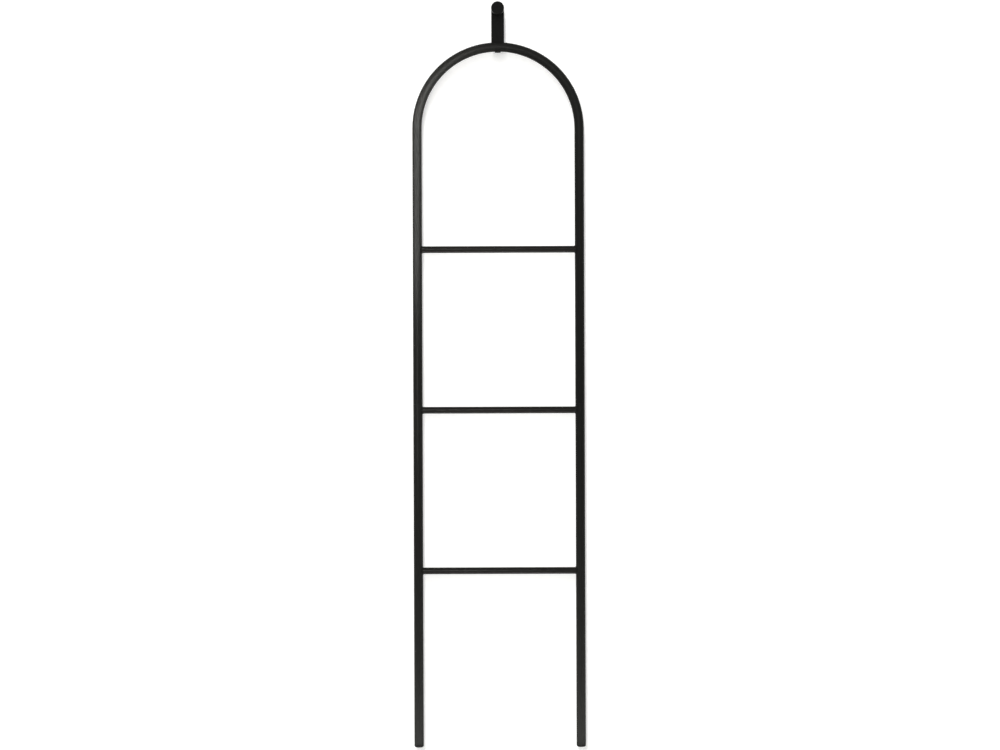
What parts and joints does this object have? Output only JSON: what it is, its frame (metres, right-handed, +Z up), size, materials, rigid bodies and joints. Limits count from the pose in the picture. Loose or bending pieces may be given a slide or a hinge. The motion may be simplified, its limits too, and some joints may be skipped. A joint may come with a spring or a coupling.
{
  "type": "towel rack",
  "caption": "Black wall-hung towel ladder: a steel tube arch with cross rungs and straight legs, carried by a flat arm that swings on a bolt behind a round screw-on peg.",
  "frame": {"origin": "on the hanger bolt's axis, in the plane of the wall", "axes": "+X to the right as seen from the room, +Y into the wall, +Z up"},
  "size_m": [0.4, 0.1339, 1.735],
  "materials": {
    "black_powder_coat": "matte black powder coat with a fine even grain",
    "black_screws": "black-coated steel, slightly satin",
    "zinc_steel": "bright zinc plate",
    "black_cap_plastic": "matte black moulded plastic",
    "black_rubber": "dull black rubber",
    "white_nylon": "natural nylon, faintly waxy",
    "grey_nylon": "grey moulded nylon"
  },
  "bodies": {
    "wall_fixture": {"wall_plug": "grey_nylon", "hanger_bolt": "zinc_steel", "standoff_pad": "black_rubber", "wall_standoff": "black_powder_coat", "rear_washer": "white_nylon", "pivot_bush": "white_nylon", "glide_ring": "white_nylon"},
    "rack": {"hanger_arm": "black_powder_coat", "crown_spacer": "zinc_steel", "arm_screw": "black_screws", "arch_tube": "black_powder_coat", "rung_upper": "black_powder_coat", "left_spigot": "zinc_steel", "right_spigot": "zinc_steel", "spigot_screws": "black_screws", "left_leg_tube": "black_powder_coat", "right_leg_tube": "black_powder_coat", "rung_middle": "black_powder_coat", "rung_lower": "black_powder_coat", "left_foot_cap": "black_cap_plastic", "right_foot_cap": "black_cap_plastic"},
    "peg": {"hook_peg": "black_powder_coat"}
  },
  "joints": [
    {"name": "rack_swivel", "type": "hinge", "parent": "wall_fixture", "child": "rack", "pos_m": [0, -0.046, 0], "axis": [0, -1, 0], "range_deg": [-12, 12]},
    {"name": "peg_spin", "type": "hinge", "parent": "wall_fixture", "child": "peg", "pos_m": [0, -0.0635, 0], "axis": [0, -1, 0], "continuous": true}
  ]
}
